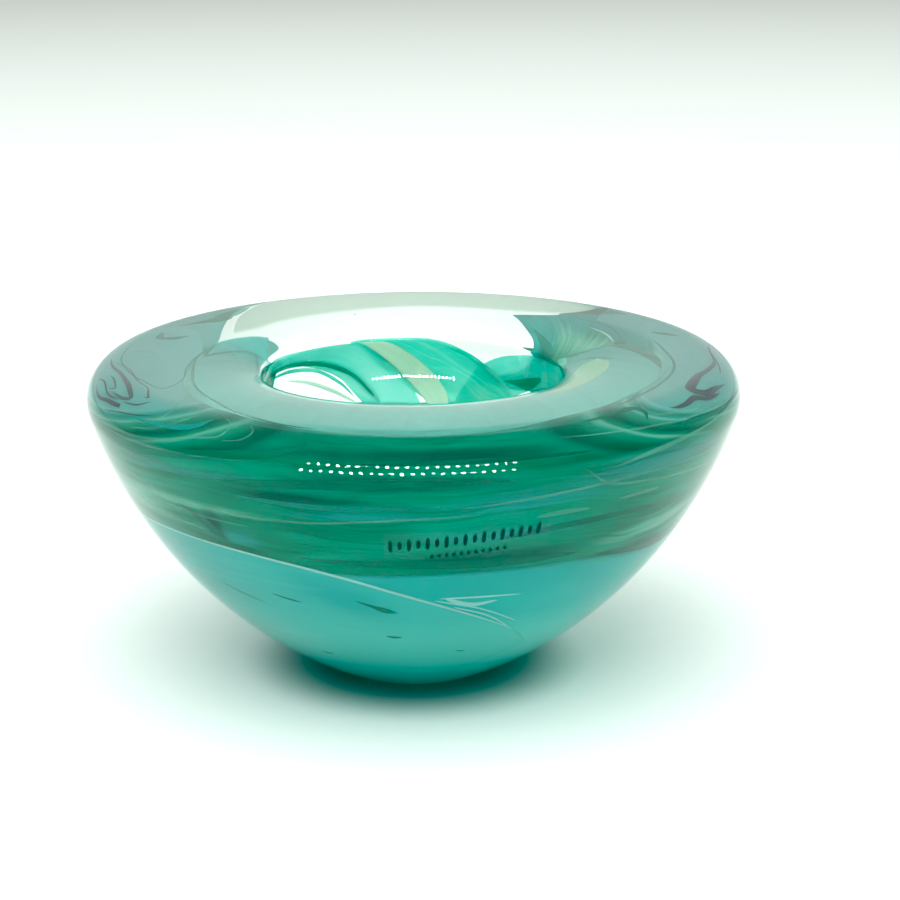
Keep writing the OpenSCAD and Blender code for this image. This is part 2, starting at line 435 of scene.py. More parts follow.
def cased_colour(name, paint, base, teal, pale, dark, opening, passing_tint, streak=1.0,
                 grey=None, rings=None):
    """Coloured glass between clear layers: streaks along its flow, shifted by the tone attribute.

    Colours are display values, which paint turns into the paint's own. grey and rings are stops that
    colour the lobes on the rim and the rings round them, by their own attributes.
    """
    def even(shades):
        return [(i / (len(shades) - 1), paint(*shade)) for i, shade in enumerate(shades)]

    def painted(stops):
        return [(at, paint(*shade)) for at, shade in stops]

    material, tree = new_material(name)
    flow = add(tree, "Attribute", attribute_name="flow").outputs["Vector"]
    drift = maths(tree, "SUBTRACT", noise(tree, flow, (0.03, 0.07, 1.0), 2.0), 0.5)
    shift = add(tree, "CombineXYZ", {1: maths(tree, "MULTIPLY", drift, 7.0 * streak)}).outputs[0]
    flow = add(tree, "VectorMath", {0: flow, 1: shift}, operation="ADD").outputs[0]
    tone = add(tree, "Attribute", attribute_name="tone")
    shares = add(tree, "SeparateColor", {0: tone.outputs["Color"]}).outputs
    broad = noise(tree, flow, (0.035, 0.16, 1.0), 3.0, 0.8)
    fine = noise(tree, flow, (0.04, 0.75, 1.0), 4.0, 0.3)
    hair = noise(tree, flow, (0.03, 2.6, 1.0), 2.0, 0.2)
    mixed = maths(tree, "MULTIPLY_ADD", broad, BROAD_SHARE, maths(tree, "MULTIPLY", fine, FINE_SHARE))
    mixed = maths(tree, "MULTIPLY_ADD", hair, HAIR_SHARE, mixed)
    lift = maths(tree, "MULTIPLY_ADD", maths(tree, "SUBTRACT", mixed, 0.5), 4.0 * streak, 0.5, clamp=True)
    colour = ramp(tree, lift, even(base))
    swing = maths(tree, "MULTIPLY", maths(tree, "SUBTRACT", fine, 0.5), 1.8 * streak)
    for share, shades in ((shares[0], teal), (shares[1], pale), (shares[2], dark)):
        shifted = maths(tree, "MULTIPLY_ADD", share, 1.0 + 0.6 * streak, swing)
        shifted = maths(tree, "SUBTRACT", shifted, 0.3 * streak)
        gate = maths(tree, "MULTIPLY", maths(tree, "MINIMUM", shifted, 1.0),
                     maths(tree, "GREATER_THAN", share, 0.1), clamp=True)
        colour = blend(tree, gate, colour, ramp(tree, lift, even(shades)))
    if grey is not None:
        share = add(tree, "Attribute", attribute_name="grey").outputs["Fac"]
        wave = maths(tree, "MULTIPLY_ADD", drift, RING_DRIFT, maths(tree, "MULTIPLY_ADD", fine, 0.03, -0.015))
        rho = add(tree, "Attribute", attribute_name="rho").outputs["Fac"]
        rho = maths(tree, "ADD", rho, wave)
        past = maths(tree, "SUBTRACT", rho, RING_FROM)
        reach = maths(tree, "MULTIPLY_ADD", past, 1 / (RING_TO - RING_FROM), 0.0, clamp=True)
        ring = ramp(tree, reach, painted(rings))
        near = add(tree, "Attribute", attribute_name="ring_share").outputs["Fac"]
        colour = blend(tree, near, colour, ring)
        colour = blend(tree, share, colour, ramp(tree, lift, painted(grey)))
    diffuse = add(tree, "BsdfDiffuse", {"Color": colour}).outputs[0]
    glow = add(tree, "BsdfTranslucent", {"Color": colour}).outputs[0]
    solid = add(tree, "MixShader", {0: GLOW_SHARE, 1: diffuse, 2: glow}).outputs[0]
    through_colour = blend(tree, tone.outputs["Alpha"], passing_tint, (1.0, 1.0, 1.0, 1.0))
    passing = add(tree, "BsdfTransparent", {"Color": through_colour}).outputs[0]
    open_share = maths(tree, "MULTIPLY_ADD", lift, 0.25, opening - 0.12)
    open_share = maths(tree, "ADD", open_share, tone.outputs["Alpha"], clamp=True)
    mix = add(tree, "MixShader", {0: open_share, 1: solid, 2: passing}).outputs[0]
    add(tree, "OutputMaterial", {"Surface": mix})
    return material


def crystal_material():
    """Clear glass, with the faint ripple of hand-worked glass."""
    material, tree = new_material("clear_crystal")
    place = add(tree, "TexCoord").outputs["Object"]
    ripple = noise(tree, place, (60.0, 60.0, 110.0), 2.0)
    bump = add(tree, "Bump", {"Height": ripple, "Strength": 0.02, "Distance": 0.001}).outputs[0]
    glass = add(tree, "BsdfPrincipled",
                {"Base Color": (0.985, 1.0, 0.99, 1.0), "Roughness": 0.0, "IOR": GLASS_IOR,
                 "Transmission Weight": 1.0, "Normal": bump})
    body = add(tree, "VolumeAbsorption", {"Color": (0.90, 0.955, 0.935, 1.0), "Density": 18.0})
    add(tree, "OutputMaterial", {"Surface": glass.outputs[0], "Volume": body.outputs[0]})
    return material


def bubble_material():
    """Air inside the crystal."""
    material, tree = new_material("trapped_air")
    air = add(tree, "BsdfGlass", {"Color": (1, 1, 1, 1), "Roughness": 0.0, "IOR": 1 / GLASS_IOR})
    add(tree, "OutputMaterial", {"Surface": air.outputs[0]})
    return material


def print_material():
    """Dark print on the label, slightly uneven."""
    material, tree = new_material("label_print")
    place = add(tree, "TexCoord").outputs["Object"]
    grain = noise(tree, place, (900.0, 900.0, 900.0))
    colour = ramp(tree, grain, [(0.3, tint(14, 38, 34)), (0.7, tint(34, 66, 58))])
    ink = add(tree, "BsdfPrincipled",
              {"Base Color": colour, "Roughness": 0.6, "Specular IOR Level": 0.1})
    add(tree, "OutputMaterial", {"Surface": ink.outputs[0]})
    return material


def film_material():
    """Clear film that carries the print."""
    material, tree = new_material("label_film")
    place = add(tree, "TexCoord").outputs["Object"]
    grain = noise(tree, place, (400.0, 400.0, 400.0))
    haze = add(tree, "BsdfDiffuse", {"Color": (0.7, 0.9, 0.82, 1.0)}).outputs[0]
    clear = add(tree, "BsdfTransparent", {"Color": (1, 1, 1, 1)}).outputs[0]
    share = maths(tree, "MULTIPLY_ADD", grain, 0.02, 0.0)
    film = add(tree, "MixShader", {0: share, 1: clear, 2: haze}).outputs[0]
    add(tree, "OutputMaterial", {"Surface": film})
    return material


# ---------------------------------------------------------------- crystal body
def wobble(az, r, z):
    """Slight out-of-round of hand-worked glass, in millimetres."""
    share = min(1.0, r / BOWL_R)
    return share * (0.05 * np.sin(3 * az + 0.05 * z) + 0.03 * np.sin(5 * az - 0.11 * z) - 0.08)


def crystal_body(material):
    outline = [(row[1], row[2]) for row in OUTER]
    well = [(row[1], row[2]) for row in WELL[::-1] if row[2] < LIP_Z - 0.05]
    profile = [(0.0, 0.0)] + outline[1:] + well[:-1] + [(0.0, WELL_FLOOR_Z)]
    body = lathe("crystal_body", profile, 360, material, wobble)
    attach(body, "root")
    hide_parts("clear_core", "clear_casing", "clear_window")
    return body


# ---------------------------------------------------------------- colour layers
def dab(az, u, centre, size, lean=0.0, hard=1.0):
    """A soft elliptical patch of colour. lean is its rise in mm for each degree to the right."""
    x = (az - centre[0]) / size[0]
    y = (u - centre[1] - lean * (az - centre[0])) / size[1]
    return np.exp(-(x * x + y * y) ** hard)


# The grey lobes on the rim: az and u of the middle, then half the width in degrees and half the height
LOBES = ((-82, 78, 36, 14), (84, 74, 36, 10.5))


def lobe_radius(az, u, lobe):
    return np.hypot((az - lobe[0]) / lobe[2], (u - lobe[1]) / lobe[3])


def swirl_flow(az, u):
    """Streaks run round the wall, and round the two grey lobes on the rim."""
    waves = 1.3 * np.sin(np.radians(az * 2.2 + 20)) + 0.8 * np.sin(np.radians(az * 5 - u * 4))
    across = u + waves
    for lobe in LOBES:
        rho = lobe_radius(az, u, lobe)
        near = smooth(-rho, -1.9, -1.15)
        across = across * (1 - near) + near * (40 + 14 * rho)
    return np.stack([az * 1.0, across, np.zeros_like(az)], -1)


# Patches of the green layer: middle, size and lean, as dab takes them
TEAL_DABS = (((18, 55), (12, 2.0), 0.03), ((44, 58.5), (16, 3.0), 0.02), ((-47, 66.5), (10, 1.6), 0.1),
             ((-33, 45), (5, 2.0), 0.0), ((15, 48), (16, 1.6), 0.02), ((-8, 52.5), (14, 1.0), 0.02),
             ((118, 84), (24, 10), 0.0))
PALE_DABS = (((-60, 47.5), (12, 2.6), -0.05), ((-44, 50.6), (16, 0.9), -0.02), ((50, 43.4), (13, 2.0), 0.06),
             ((-6, 75), (26, 1.0), 0.0))
DARK_DABS = (((-42, 64.5), (22, 2.2), 0.10), ((8, 67), (24, 2.4), 0.0), ((-4, 60), (18, 2.0), 0.0),
             ((-38, 47), (2.5, 3.5), 0.0), ((42, 64), (16, 1.5), 0.05), ((53, 38), (12, 1.7), -0.06),
             ((14, 42.5), (20, 2.4), 0.0), ((-100, 62), (30, 6), 0.0), ((112, 60), (30, 6), 0.0),
             ((-20, 56), (14, 1.2), 0.0))


def total(az, u, dabs):
    return np.clip(sum(dab(az, u, centre, size, lean) for centre, size, lean in dabs), 0, 1)


def lobe_shares(az, u):
    """Share of grey glass in the two lobes on the rim, and how far out the rings round them are."""
    share = np.zeros_like(az)
    rho = np.full_like(az, 9.0)
    for lobe in LOBES:
        radius = lobe_radius(az, u, lobe)
        share = np.maximum(share, smooth(-radius, -1.02, -0.97))
        rho = np.minimum(rho, radius)
    back = smooth(np.abs(az), 95, 108) * smooth(u, 62, 70)
    share = np.maximum(share, 0.8 * back * (1 - smooth(az, 80, 90) * smooth(u, 82, 85)))
    lip = smooth(u, 73.2, 74.2) * smooth(-np.abs(az), -45, -20)
    share = np.maximum(share, 0.3 * lip)
    ring_share = smooth(-rho, -1.95, -1.6) * smooth(u, 60, 65) * smooth(-np.abs(az), -100, -80)
    return {"grey": share, "rho": rho, "ring_share": ring_share}


def swirl_tone(az, u, side):
    """Teal, pale, dark and open shares of the green layer."""
    teal = total(az, u, TEAL_DABS)
    pale = total(az, u, PALE_DABS)
    dark = total(az, u, DARK_DABS)
    edge = smooth(np.abs(az), 72, 88) * smooth(-u, -58, -50)
    pale = np.maximum(pale, 0.75 * edge)
    return np.stack([teal, pale, dark, 1.0 * (side > 0)], -1)


# Edges of the colour layers, as (az, u)
SWIRL_TOP = ((-147, 70.5), (-140, 74), (-125, 84), (-112, 90), (-100, 92), (-88, 91), (-75, 88),
             (-60, 83), (-45, 78.5), (-30, 76), (-15, 75), (0, 74.5), (15, 75), (30, 77), (50, 80),
             (70, 82.5), (90, 85), (105, 90), (118, 91), (127, 86), (132, 77), (136, 66), (141, 56),
             (146, 52))
SWIRL_FOOT = ((-147, 69), (-138, 62), (-128, 52), (-118, 43), (-100, 37), (-70, 36), (-30, 36),
              (0, 34), (30, 35), (60, 33), (90, 35), (110, 38), (130, 42), (141, 46), (146, 50))
SWEEP_TOP = ((-144, 39), (-141, 41.5), (-134, 42), (-120, 40), (-95, 39), (-72, 41), (-50, 42.3),
             (-30, 41.5), (-20, 40), (-12, 38), (-5, 35.5), (5, 31.5), (15, 27), (25, 22), (32, 17))
CUP_TOP = ((-180, 39), (-150, 40), (-120, 37), (-80, 37), (-40, 38.5), (-10, 39), (20, 39.5),
           (36, 39), (50, 37), (62, 36), (75, 38.5), (100, 39), (140, 40), (180, 39))


# How open the pale inner face of the opal layers is
INNER_OPEN = 0.15


def sweep_foot(az):
    """Lower edge of the opal lobe, which rises at both ends."""
    return np.minimum(3.0 + smooth(az, 5, 32) * 12 + smooth(-az, 108, 144) * 34, 40)


def span(edge, steps):
    """Even steps of az from an edge's first point to its last."""
    return np.linspace(edge[0][0], edge[-1][0], steps)


def cup_flow(az, u):
    across = u + 3.0 * np.sin(np.radians(az - 40)) + 1.0 * np.sin(np.radians(3 * az + 10))
    return np.stack([np.abs(az) * 0.8, across, np.full_like(az, 3.0)], -1)


def cup_tone(az, u, side):
    # The teal share is raised in a wide band round the foot (the dab at u 2): painted shade for the dark
    # contact shadow that the underside reflects
    blue = dab(az, u, (18, 35), (30, 9), -0.15) + 0.6 * dab(az, u, (8, 2), (120, 6)) + 0.4 * smooth(u, 18, 30)
    rim = dab(az, u, (45, 38), (20, 1.4), -0.05)
    teal = np.clip(blue, 0, 1) * (side < 0)
    return np.stack([teal, 1.0 * (side > 0), rim * (side < 0) * 0.7, INNER_OPEN * (side > 0)], -1)


def sweep_tone(az, u, side):
    # The teal share rises towards the foot, painted shade for the reflected contact shadow, and again higher
    # up the lobe
    low = smooth(-u, -16, -4) * 0.35 + smooth(u, 18, 32) * 0.5
    teal = np.clip(0.5 * dab(az, u, (-14, 33), (10, 4), -0.3) + low, 0, 1) * (side < 0)
    pale = np.where(side < 0, 0.12 * dab(az, u, (-40, 20), (40, 8)), 1.0)
    return np.stack([teal, pale, np.zeros_like(teal), INNER_OPEN * (side > 0)], -1)


def colour_layers():
    aqua = cased_colour(
        "aqua_opal", cased,
        ((54, 170, 154), (66, 180, 165), (84, 192, 178)),
        ((18, 138, 132), (42, 164, 158)),
        ((126, 250, 232), (150, 255, 244)),
        ((20, 130, 100), (50, 160, 128)),
        0.05, (0.55, 0.9, 0.82, 1.0), 0.5)
    green = cased_colour(
        "emerald_swirl", deep,
        ((0, 90, 56), (0, 124, 88), (8, 152, 120)),
        ((6, 118, 110), (40, 158, 148)),
        ((44, 156, 122), (140, 208, 170)),
        ((0, 50, 30), (0, 80, 54)),
        0.07, (0.02, 0.5, 0.32, 1.0), 1.0,
        grey=((0, (84, 166, 158)), (0.5, (104, 182, 174)), (1, (128, 198, 190))),
        rings=((0, (104, 182, 174)), (0.045, (150, 225, 212)), (0.075, (90, 180, 168)),
               (0.12, (24, 134, 118)), (0.17, (40, 150, 132)), (0.2, (120, 205, 180)),
               (0.23, (50, 150, 126)), (0.3, (10, 120, 84)), (0.36, (0, 76, 48)),
               (0.43, (20, 130, 96)), (0.46, (110, 195, 162)), (0.5, (30, 140, 108)),
               (0.6, (0, 92, 60)), (0.7, (0, 70, 42)), (0.8, (14, 128, 98)),
               (1, (4, 110, 78))))
    opal_cup = cup("opal_cup_layer", aqua, lambda a: through(CUP_TOP, a), CUP_DEPTH, CUP_T, 300, 46,
                   cup_flow, cup_tone)
    az = span(SWEEP_TOP, 200)
    opal_sweep = sheet("opal_sweep_layer", aqua, az, sweep_foot(az), through(SWEEP_TOP, az),
                       SWEEP_DEPTH, SWEEP_T, 40, cup_flow, sweep_tone)
    az = span(SWIRL_TOP, 350)
    swirl = sheet("emerald_swirl_layer", green, az, through(SWIRL_FOOT, az), through(SWIRL_TOP, az),
                  SWIRL_DEPTH, SWIRL_T, 90, swirl_flow, swirl_tone, lobe_shares)
    for piece, nodes, slot in ((opal_cup, ("opal_cup",), "aqua_opal_glass"),
                               (opal_sweep, ("opal_sweep",), "aqua_opal_glass"),
                               (swirl, ("emerald_band", "teal_ribbon"), "emerald_glass")):
        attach(piece, "root")
        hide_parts(*nodes)
    lip_layers(aqua, green)
    # A grey-green sheet of painted shade in the rim at the back
    rear_shade_sheet()


# Edges of the wedge and the tongue that lie over the lip at the ends of the swirl
WEDGE_FOOT = ((100, 88), (112, 84), (121, 80), (129, 78.8), (133.5, 81.3), (141.4, 85.9), (150.5, 88.9))
WEDGE_TOP = ((100, 99), (106, 102.6), (113, 104), (125, 104), (131.7, 100.4), (139.9, 96.3), (150.5, 89.2))
TONGUE_FOOT = ((-126, 96.0), (-124, 94.4), (-120, 93.0), (-110, 91), (-100, 90.5), (-86, 90))
TONGUE_TOP = ((-126, 96.4), (-124, 97.6), (-120.6, 98.9), (-116, 100.7), (-108, 103.6), (-98, 104),
              (-86, 104))


def wedge_flow(az, u):
    return np.stack([az * 1.0, u + 0.62 * az, np.full_like(az, 5.0)], -1)


def wedge_tone(az, u, side):
    pale = 0.8 * dab(az, u, (108, 96), (12, 5)) + 0.5 * dab(az, u, (126, 94), (10, 3), -0.5)
    teal = 0.8 * smooth(az, 108, 130)
    join = smooth(-az, -106, -101)
    return np.stack([teal, np.clip(pale, 0, 1), 0 * az, np.maximum(side > 0, join)], -1)


def tongue_tone(az, u, side):
    fade = 0.25 + 0.75 * smooth(az, -116, -92)
    return np.stack([0 * az + 0.8, 0 * az, 0 * az, np.maximum(side > 0, fade)], -1)


# Edges of a grey-green sheet in the rim at the back. It is painted shade: it stands for the floor in the
# bowl's shadow, seen through the clear glass of the rim.
SHADE_SHEET_FOOT = ((127, 74), (140, 72), (200, 72), (213, 73), (220, 77), (235, 87), (240, 90))
SHADE_SHEET_TOP = ((127, 77), (133, 83), (141, 86.5), (150, 88.5), (165, 89), (178, 88.8), (197, 90.3), (222, 92),
            (232, 93), (240, 92))


def shade_sheet_tone(az, u, side):
    edge = smooth(u - through(SHADE_SHEET_TOP, az), -3.5, -0.5)
    return np.stack([0 * az, 0 * az, 0 * az, np.maximum(side > 0, edge)], -1)


# Painted shade: a grey-green sheet that dims what is seen through the back of the rim, standing for the floor
# in the bowl's shadow
def rear_shade_sheet():
    shades = ((180, 200, 186), (190, 208, 196))
    glass = cased_colour("rear_painted_shade_glass", tint, shades, shades, shades, shades,
                         1.2, (0.57, 0.655, 0.57, 1.0))
    az = span(SHADE_SHEET_FOOT, 150)
    piece = sheet("rear_painted_shade_layer", glass, az, through(SHADE_SHEET_FOOT, az), through(SHADE_SHEET_TOP, az),
                  SHADE_SHEET_DEPTH, SHADE_SHEET_T, 30, cup_flow, shade_sheet_tone)
    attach(piece, "root")


def lip_layers(aqua, green):
    az = span(WEDGE_FOOT, 110)
    wedge = sheet("lip_wedge_layer", green, az, through(WEDGE_FOOT, az), through(WEDGE_TOP, az),
                  SWIRL_DEPTH, LIP_T, 40, wedge_flow, wedge_tone)
    az = span(TONGUE_FOOT, 90)
    tongue = sheet("lip_tongue_layer", aqua, az, through(TONGUE_FOOT, az), through(TONGUE_TOP, az),
                   SWIRL_DEPTH, LIP_T, 40, cup_flow, tongue_tone)
    for piece, slot in ((wedge, "emerald_glass"), (tongue, "aqua_opal_glass")):
        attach(piece, "root")


# ---------------------------------------------------------------- strands and ribbons
# Teal, pale, dark and open shares of a band
PALE_TONE = (0, 1, 0, 0)
TEAL_TONE = (1, 0, 0, 0)
DARK_TONE = (0, 0, 1, 0)
GREEN_TONE = (0, 0, 0, 0)
# The same, partly dissolved in the clear glass
SOFT_PALE = (0, 0.8, 0, 0.5)
SOFT_TEAL = (1, 0, 0, 0.3)
SOFT_DARK = (0, 0, 1, 0.15)

# Routes of the bands, as points of (az, u, width)
PALE_STRANDS = (
    ((-72, 41.2, 0.5), (-50, 42.4, 0.5), (-30, 41.6, 0.6), (-20, 40.1, 0.7), (-12, 38.1, 0.7),
     (-5, 35.6, 0.7), (5, 31.6, 0.6), (15, 27.1, 0.5), (25, 22.1, 0.3)),
    ((4, 33, 0.4), (14, 30, 0.4), (24, 25, 0.3)),
    ((6, 33.5, 0.9), (11, 31.5, 1.2), (17, 32, 0.5)),
    ((5, 33.5, 0.4), (14, 33.4, 0.5), (22, 33.0, 0.2)),
    ((8, 31, 0.4), (16, 27.8, 0.4), (24, 22.4, 0.3)),
)


# The threads round the lobes, then the ones along the wall, each with its tone. The first wall thread is a
# painted highlight: a pale line that stands for a thin reflection along the shoulder.
LOBE_THREADS = (
    (((-103, 74.2, 0.2), (-87, 74.2, 0.3), (-79, 75.2, 0.35), (-68, 76.7, 0.35), (-60, 79.5, 0.35),
      (-62, 82, 0.3), (-65, 84.3, 0.3), (-77, 87.8, 0.35), (-96, 90.7, 0.3), (-105, 91.2, 0.2)), SOFT_DARK),
    (((-90, 89.5, 0.3), (-71, 87.6, 0.5), (-60, 84, 0.6), (-53, 80, 0.6), (-47, 73.1, 0.7), (-49, 68.7, 0.7),
      (-57, 65.6, 0.6), (-72, 62.4, 0.4)), SOFT_PALE),
    (((-43, 77.3, 0.3), (-41, 74.3, 0.5), (-43, 70.3, 0.7), (-48, 66.5, 0.6), (-55, 64.5, 0.3)), SOFT_PALE),
    (((-37, 75.6, 0.3), (-33, 72.6, 0.5), (-33, 69.5, 0.5), (-39, 66.7, 0.5), (-51, 63.3, 0.6),
      (-63, 62.5, 0.6), (-74, 61, 0.3)), SOFT_PALE),
    (((-30, 74.1, 0.3), (-28, 71.6, 0.4), (-29, 68.8, 0.4), (-33, 67.3, 0.2)), SOFT_PALE),
    (((-105, 91.2, 0.3), (-90, 90.3, 0.5), (-72, 88.4, 0.6), (-57, 84.4, 0.6), (-43, 80.3, 0.6),
      (-34, 77.0, 0.5), (-25, 75.2, 0.5), (-17, 74.8, 0.3)), DARK_TONE),
    (((-66, 62.5, 0.6), (-61, 59.8, 1.2), (-55, 59.6, 1.6), (-42, 61.9, 2.0), (-31, 64.4, 2.2),
      (-22, 66.6, 2.0), (-18, 69.6, 1.2), (-18, 71.3, 0.4)), DARK_TONE),
    (((-56, 67.2, 0.5), (-47, 67.6, 1.2), (-39, 70.2, 1.5), (-37, 73, 0.6)), TEAL_TONE),
    (((-118, 76.5, 1.0), (-125, 79, 3.0), (-132, 78, 4.0), (-141, 75, 1.5)), SOFT_DARK),
    (((-111, 76.3, 0.6), (-106, 79.4, 2.2), (-108, 82, 2.0), (-111, 83.3, 0.4)), SOFT_DARK),
    (((109, 82.1, 0.3), (98, 85.3, 0.4), (86, 82.8, 0.5), (74, 81.8, 0.5), (61, 80.7, 0.5), (50, 80.0, 0.5),
      (37, 77.1, 0.5), (26, 74.6, 0.3)), SOFT_PALE),
    (((104, 82.6, 0.3), (92, 82.4, 0.5), (76, 80.4, 0.6), (61, 79.3, 0.6), (50, 78.2, 0.6), (38, 75.8, 0.4)),
     SOFT_DARK),
    (((52, 79, 0.3), (47, 76.5, 0.6), (45, 73.8, 0.8), (46, 70.5, 0.8), (50, 69.1, 0.7), (57, 67.6, 0.6),
      (68, 66.2, 0.3)), SOFT_PALE),
    (((30, 73.4, 0.4), (36, 73.8, 1.0), (43, 74.0, 1.4), (44, 71.6, 1.2), (43, 69.2, 0.6)), DARK_TONE),
    (((44, 66.6, 0.5), (54, 65.6, 1.2), (66, 64.6, 1.2), (80, 64.4, 0.5)), DARK_TONE),
    (((110, 80.3, 0.4), (107, 78.1, 2.0), (104, 75.7, 0.5)), SOFT_DARK),
    (((24, 69.6, 0.3), (36, 68.4, 0.5), (52, 66.9, 0.5), (70, 65.4, 0.3)), SOFT_PALE),
    (((-14, 73.6, 0.3), (0, 73.2, 0.4), (14, 73.4, 0.4), (26, 73.8, 0.3)), SOFT_PALE),
)
WALL_THREADS = (
    # Painted highlight: this pale thread stands for a thin reflection along the shoulder
    (((-64, 61.5, 0.4), (-45, 62, 0.7), (-30, 63.2, 0.5), (-18, 64, 0.2)), SOFT_PALE),
    (((-74, 57, 0.4), (-60, 53.6, 0.8), (-45, 51, 0.7), (-20, 50.6, 0.5), (-2, 52.3, 0.5), (12, 53, 0.2)),
     SOFT_PALE),
    (((-70, 52, 0.6), (-58, 50, 1.2), (-45, 48.6, 0.8), (-30, 48, 0.3)), SOFT_PALE),
    (((-66, 47, 0.4), (-52, 46, 0.8), (-40, 45, 0.4)), SOFT_PALE),
    (((8, 54.6, 0.4), (20, 55.8, 0.6), (36, 57, 0.7), (52, 57, 0.3)), SOFT_PALE),
    (((28, 61, 0.4), (32, 57.6, 0.6), (44, 55, 0.6), (60, 53.4, 0.6), (74, 52, 0.3)), SOFT_PALE),
    (((34, 60, 0.6), (42, 61.5, 1.2), (56, 63, 0.8), (70, 64, 0.3)), SOFT_PALE),
    (((21, 51.4, 0.8), (26, 51.7, 1.2), (31, 51.6, 0.5)), SOFT_PALE),
    (((37, 52.3, 0.5), (42, 52.6, 1.0), (47, 52.4, 0.4)), SOFT_PALE),
    (((-34, 57.6, 1.0), (-15, 59.4, 2.0), (4, 60.6, 2.2), (16, 60, 0.8)), SOFT_DARK),
    (((-46, 50, 0.4), (-42, 48.5, 1.6), (-38, 45, 2.2), (-36, 43, 0.6)), SOFT_DARK),
    (((-22, 42, 0.6), (0, 41.6, 1.8), (16, 41.4, 2.2), (32, 41, 0.8)), SOFT_DARK),
    (((36, 39.6, 0.6), (48, 38, 1.6), (60, 36.8, 1.4), (68, 36.6, 0.5)), SOFT_DARK),
    (((-10, 64.8, 0.5), (10, 65.6, 1.2), (30, 65, 0.6)), SOFT_DARK),
    (((14, 47, 0.6), (30, 48.6, 1.4), (48, 48.4, 0.8)), SOFT_DARK),
    (((-30, 55, 0.6), (-12, 54.4, 1.4), (4, 55.2, 0.6)), SOFT_TEAL),
    (((-60, 58.6, 0.6), (-42, 58, 2.0), (-26, 59.6, 0.6)), SOFT_TEAL),
    (((30, 59, 0.8), (46, 58.6, 2.6), (64, 58, 1.2)), SOFT_TEAL),
)


# Short dark marks in the opal
OPAL_MARKS = (
    ((-12, 32.6, 0.2), (-9, 31.4, 0.7), (-6, 30.2, 1.3), (-3.5, 29.6, 0.3)),
    ((-46, 31.4, 0.15), (-40, 29.8, 0.35), (-34, 28.4, 0.15)),
    ((-31, 31.8, 0.2), (-27, 31, 0.5), (-24, 30.6, 0.2)),
    ((-7, 22.5, 0.2), (-5, 22.1, 0.7), (-3, 22.2, 0.2)),
    ((-29, 14.6, 0.2), (-27, 14.2, 0.5), (-25, 14.2, 0.2)),
    ((11, 17, 0.2), (12.5, 16.8, 0.4), (14, 16.8, 0.2)),
)


def swirl_threads():
    glass = cased_colour(
        "thread_glass", cased,
        ((0, 130, 92), (20, 165, 125)),
        ((0, 120, 110), (30, 150, 140)),
        ((80, 190, 160), (160, 226, 198)),
        ((0, 84, 58), (0, 108, 78)),
        0.22, (0.3, 0.85, 0.65, 1.0), 0.7)
    threads = bands("swirl_threads", glass, OUTER, LOBE_THREADS + WALL_THREADS, THREAD_DEPTH, THREAD_T, 7)
    marks = bands("opal_marks", glass, OUTER, [(p, DARK_TONE) for p in OPAL_MARKS],
                  MARK_DEPTH, MARK_T, 7, 0.4)
    for piece in (threads, marks):
        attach(piece, "root")


# Thin smoky threads under the rim
SMOKE_THREADS = (
    ((-89, 71.6, 0.3), (-82, 72.4, 0.6), (-73, 73.9, 0.9), (-64, 72.7, 1.2), (-60, 71, 1.0), (-62, 69.8, 0.9),
     (-66, 69.6, 0.7), (-68, 69.5, 0.2)),
    ((-84, 73, 0.15), (-77, 76, 0.3), (-68, 75.8, 0.4), (-59, 74.8, 0.4), (-56, 73.1, 0.7),
     (-58, 72.9, 0.15)),
    ((-77, 67.5, 0.2), (-72, 66.5, 0.7), (-66, 67.4, 0.9), (-61, 67.9, 0.9), (-66, 67.1, 0.5),
     (-69, 67, 0.2)),
    ((-66, 65.2, 0.15), (-60, 66.6, 0.3), (-54, 67.9, 0.35), (-49, 69.4, 0.15)),
    ((-61, 69.1, 0.2), (-56, 70.3, 0.6), (-54, 72.4, 0.3)),
    ((-76, 71.5, 0.2), (-72, 71.7, 0.4), (-68, 70.7, 0.4), (-70, 69.5, 0.15)),
    ((-79, 68.6, 0.15), (-74, 69.6, 0.5), (-69, 68.6, 0.5), (-63, 68.9, 0.3)),
    ((98, 70.9, 0.3), (90, 72.5, 0.5), (82, 72.2, 0.8), (75, 73.3, 1.2), (68, 74.3, 1.8), (61, 72.9, 2.4),
     (63, 69.9, 2.0), (68, 69.2, 1.4), (73, 68.2, 0.5)),
    ((50, 70.7, 0.3), (52, 70, 0.8), (55, 69.9, 1.2), (58, 70.3, 1.5), (62, 68.6, 1.2), (68, 67.8, 0.4)),
    ((101, 68.8, 0.2), (93, 69.8, 0.5), (88, 68.2, 0.2)),
    ((86, 72, 0.15), (80, 71, 0.4), (76, 70.2, 0.2)),
)


def smoke_threads():
    glass = cased_colour(
        "smoke_glass", tint,
        ((88, 78, 84), (118, 104, 112)),
        ((70, 90, 92), (96, 120, 120)),
        ((150, 140, 140), (170, 160, 160)),
        ((60, 48, 56), (100, 84, 92)),
        0.25, (0.7, 0.66, 0.7, 1.0), 0.8)
    piece = bands("smoke_threads", glass, OUTER, [(p, DARK_TONE) for p in SMOKE_THREADS],
                  SMOKE_DEPTH, THREAD_T, 5)
    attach(piece, "root")


